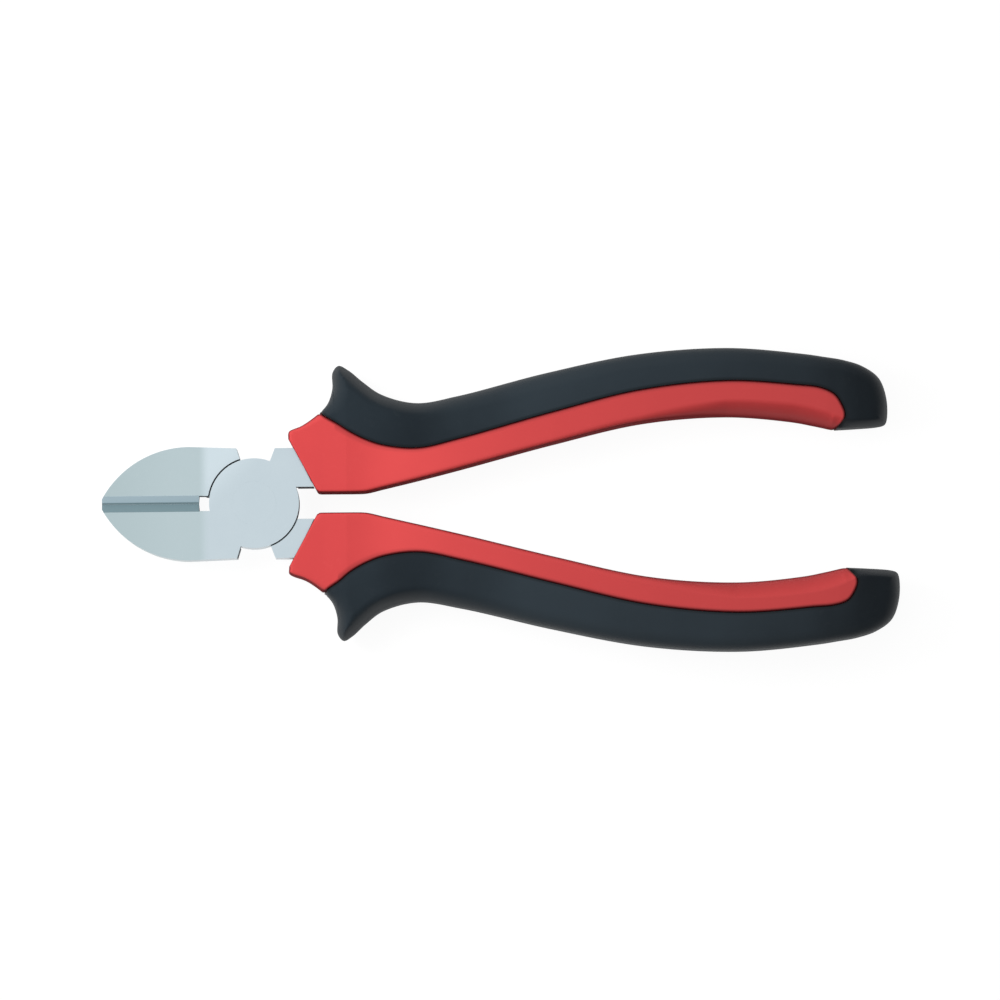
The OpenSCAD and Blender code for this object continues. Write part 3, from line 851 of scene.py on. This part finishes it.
def sleeveRings(grip):
    g, m = gripShape, gripMesh
    away = unit(grip.inner - grip.seam)
    wide = np.linalg.norm(grip.inner - grip.seam, axis=1)
    fromSide = distanceTo(grip.outer, grip.seam)[0]
    zone = g["grooveWide"] + np.maximum(grip.edges["outerRound"] + g["draft"] - fromSide, 0)
    side = sideZone(grip.edges["innerRound"])
    places = spread(wide, closing(zone, m["grooveSteps"]), side, m["sleeveSteps"])
    plan = grip.seam[:, None] + away[:, None] * places[..., None]
    z, rim = grip.height(plan, grip.sleeveHalf)

    # round the mouth, and close the skin on itself where no cover lies beside it
    mouth = grip.inner[0] - grip.outer[0]
    square = unit(np.array([-mouth[1], mouth[0]]))
    r = g["mouthRound"]
    back = np.maximum(r - np.abs((plan - grip.inner[0]) @ square), 0)
    z = np.maximum(z - r + np.sqrt(np.maximum(r * r - back * back, 0)), 0)
    bare = slice(grip.wedge + 1)
    z[bare, 0] = 0
    z[:, -1] = 0
    skin, rim = wrapSkin(plan, z, rim)

    # groove along the seam
    line = np.concatenate([grip.seam, z[:, :1]], axis=1)[grip.wedge:]
    near = seamDistance(line, skin)
    groove = g["groove"] * (1 - np.clip(near / g["grooveWide"], 0, 1)) ** 2
    skin = sunk(skin, groove * grip.grooved[:, None])

    # hidden corners of the core under the cover
    toOut = unit(grip.outer - grip.seam)
    inPlan = grip.seam + toOut * np.maximum(hiddenCore(grip) - m["bond"], 0)[:, None]
    inZ = grip.height(inPlan, grip.sleeveHalf)[0]
    under = m["coverWall"] + m["bond"]
    deepZ = np.maximum(inZ - under, m["sleeveDeep"] * inZ)
    deep = np.concatenate([inPlan, deepZ[:, None]], axis=1)
    corner = skin[:, 0].copy()
    corner[:, 2] = np.maximum(corner[:, 2] - under + g["groove"], m["grooveDeep"] * corner[:, 2])
    deep[bare] = skin[bare, 0]
    corner[bare] = skin[bare, 0]
    return closedRings(skin, rim, near, corner, deep, wide)


def solidFromRings(name, rings, masks, side, midZ, capFirst):
    rings = rings * np.array([1, side, 1]) + np.array([0, 0, midZ])
    bm = bmesh.new()
    layers = {key: bm.verts.layers.float.new(key) for key in masks}
    rows = []
    for j, ring in enumerate(rings):
        row = []
        for k, point in enumerate(ring):
            vert = bm.verts.new(point * mm)
            for key, values in masks.items():
                vert[layers[key]] = values[j][k]
            row.append(vert)
        rows.append(row)
    count = len(rows[0])
    for near, far in zip(rows, rows[1:]):
        for k in range(count):
            n = (k + 1) % count
            bm.faces.new((near[k], near[n], far[n], far[k]))
    if capFirst:
        bm.faces.new(rows[0])
    bmesh.ops.remove_doubles(bm, verts=bm.verts, dist=gripMesh["weld"] * mm)
    bmesh.ops.recalc_face_normals(bm, faces=bm.faces)
    mesh = bpy.data.meshes.new(name)
    bm.to_mesh(mesh)
    bm.free()
    mesh.shade_smooth()
    mesh.set_sharp_from_angle(angle=math.radians(gripMesh["sharpFrom"]))
    piece = bpy.data.objects.new(name, mesh)
    scene.collection.objects.link(piece)
    return piece


def dressGrip(word, side, body, **setOver):
    sleeveNode, coverNode = word + "_sleeve", word + "_overmould"
    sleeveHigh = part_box(sleeveNode)[1]
    coverLow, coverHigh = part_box(coverNode)
    midZ = (coverLow.z + coverHigh.z) / 2 / mm
    sleeveHalf, coverHalf = sleeveHigh.z / mm - midZ, coverHigh.z / mm - midZ
    grip = Grip(coverHigh.x / mm, sleeveHalf, coverHalf, **setOver)
    for makeRings, node, mat, slot, cap in (
        (sleeveRings, sleeveNode, redMat, "red_sleeve", True),
        (coverRings, coverNode, blackMat, "black_cover", False),
    ):
        rings, masks = makeRings(grip)
        piece = solidFromRings(node + "_dressed", rings, masks, side, midZ, cap)
        piece.data.materials.append(mat)
        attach(piece, body)
        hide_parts(node)
        print(piece.name, len(piece.data.vertices), "points")


for gripWord, gripSide in gripSides.items():
    dressGrip(gripWord, **gripSide)
print("grips dressed")


# Floor, light and camera

studio = {
    "floorSize": 12.0,      # m
    "floorDrop": 0.05,      # mm under the lowest point of the tool
    "floorBounce": (0.45, 0.45, 0.45, 1),
    "floorSeen": (0.12, 0.12, 0.12, 1),
    "floorGlow": 0.93,
    "level": 0.82,          # of the sky overhead
    "least": 0.04,
    "fall": (-0.45, 0.28, 0.70),        # how the sky brightens along each axis
    "paleFall": (-0.12, 0.12, 0.24),    # and the paler backdrop that gloss and metal show
    "keyPlace": (-0.06, 0.035, 0.13),   # m
    "keySize": 0.09,        # m
    "keyPower": 0.18,       # W
}


def layFloor():
    half = studio["floorSize"] / 2
    z = cadLow.z - studio["floorDrop"] * mm
    corners = [(-half, -half, z), (half, -half, z), (half, half, z), (-half, half, z)]
    mesh = bpy.data.meshes.new("floor")
    mesh.from_pydata(corners, [], [(0, 1, 2, 3)])
    floor = bpy.data.objects.new("floor", mesh)
    scene.collection.objects.link(floor)
    mat = bpy.data.materials.new("paleFloor")
    mat.use_nodes = True
    tree = mat.node_tree
    tree.nodes.clear()
    bounce = addNode(tree, "ShaderNodeBsdfDiffuse", {"Color": studio["floorBounce"]})
    seen = addNode(tree, "ShaderNodeBsdfDiffuse", {"Color": studio["floorSeen"]})
    glow = addNode(tree, "ShaderNodeEmission", {"Strength": studio["floorGlow"]})
    lit = addNode(tree, "ShaderNodeAddShader")
    path = addNode(tree, "ShaderNodeLightPath")
    pick = addNode(tree, "ShaderNodeMixShader")
    out = addNode(tree, "ShaderNodeOutputMaterial")
    direct = mathNode(tree, "MAXIMUM", path.outputs["Is Camera Ray"], path.outputs["Is Glossy Ray"])
    direct = mathNode(tree, "MAXIMUM", direct, path.outputs["Is Transmission Ray"])
    tree.links.new(seen.outputs[0], lit.inputs[0])
    tree.links.new(glow.outputs[0], lit.inputs[1])
    tree.links.new(direct, pick.inputs[0])
    tree.links.new(bounce.outputs[0], pick.inputs[1])
    tree.links.new(lit.outputs[0], pick.inputs[2])
    tree.links.new(pick.outputs[0], out.inputs["Surface"])
    mesh.materials.append(mat)


def lightStudio():
    world = bpy.data.worlds.new("softStudio")
    scene.world = world
    world.use_nodes = True
    tree = world.node_tree
    back = tree.nodes["Background"]
    place = addNode(tree, "ShaderNodeTexCoord")
    path = addNode(tree, "ShaderNodeLightPath")

    def skyGlow(fall):
        slope = addNode(tree, "ShaderNodeVectorMath", {1: fall}, operation="DOT_PRODUCT")
        tree.links.new(place.outputs["Generated"], slope.inputs[0])
        glow = mathNode(tree, "ADD", slope.outputs["Value"], studio["level"] - fall[2])
        return mathNode(tree, "MAXIMUM", glow, studio["least"])

    def pick(factor, plain, chosen):
        kept = mathNode(tree, "MULTIPLY", plain, inverted(tree, factor))
        return mathNode(tree, "ADD", kept, mathNode(tree, "MULTIPLY", chosen, factor))

    glossy, through = path.outputs["Is Glossy Ray"], path.outputs["Is Transmission Ray"]
    mirrorRay = mathNode(tree, "MAXIMUM", glossy, through)
    glow = pick(mirrorRay, skyGlow(studio["fall"]), skyGlow(studio["paleFall"]))
    glow = pick(path.outputs["Is Camera Ray"], glow, 1.0)
    tree.links.new(glow, back.inputs["Strength"])
    back.inputs["Color"].default_value = (1, 1, 1, 1)
    lamp = bpy.data.lights.new("keySoftbox", "AREA")
    lamp.shape = "SQUARE"
    lamp.size = studio["keySize"]
    lamp.energy = studio["keyPower"]
    key = bpy.data.objects.new("keySoftbox", lamp)
    key.location = studio["keyPlace"]
    toward = (cadLow + cadHigh) / 2 - key.location
    key.rotation_euler = toward.to_track_quat("-Z", "Y").to_euler()
    key.visible_glossy = False
    scene.collection.objects.link(key)


shot = {
    "aim": (49.2, 0.26),    # mm, the middle of the picture on the front face
    "turn": -0.43,          # degrees
    "lean": 2.2,            # degrees, from the side of the lower handle
    "wide": 200,            # mm across the picture at the front face
    "away": 2400,           # mm above the front face
    "sensor": 36,
    "clipEnd": 10,          # m
}


def placeCamera():
    data = bpy.data.cameras.new("studioCamera")
    data.sensor_width = shot["sensor"]
    data.lens = shot["sensor"] * shot["away"] / shot["wide"]
    data.clip_end = shot["clipEnd"]
    cam = bpy.data.objects.new("studioCamera", data)
    cam.rotation_euler = (math.radians(shot["lean"]), 0, math.radians(shot["turn"]))
    aim = Vector((shot["aim"][0] * mm, shot["aim"][1] * mm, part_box("front_half")[1].z))
    cam.location = aim + cam.rotation_euler.to_matrix() @ Vector((0, 0, shot["away"] * mm))
    scene.collection.objects.link(cam)
    scene.camera = cam


layFloor()
lightStudio()
placeCamera()
scene.view_settings.view_transform = "Standard"
print("studio set")
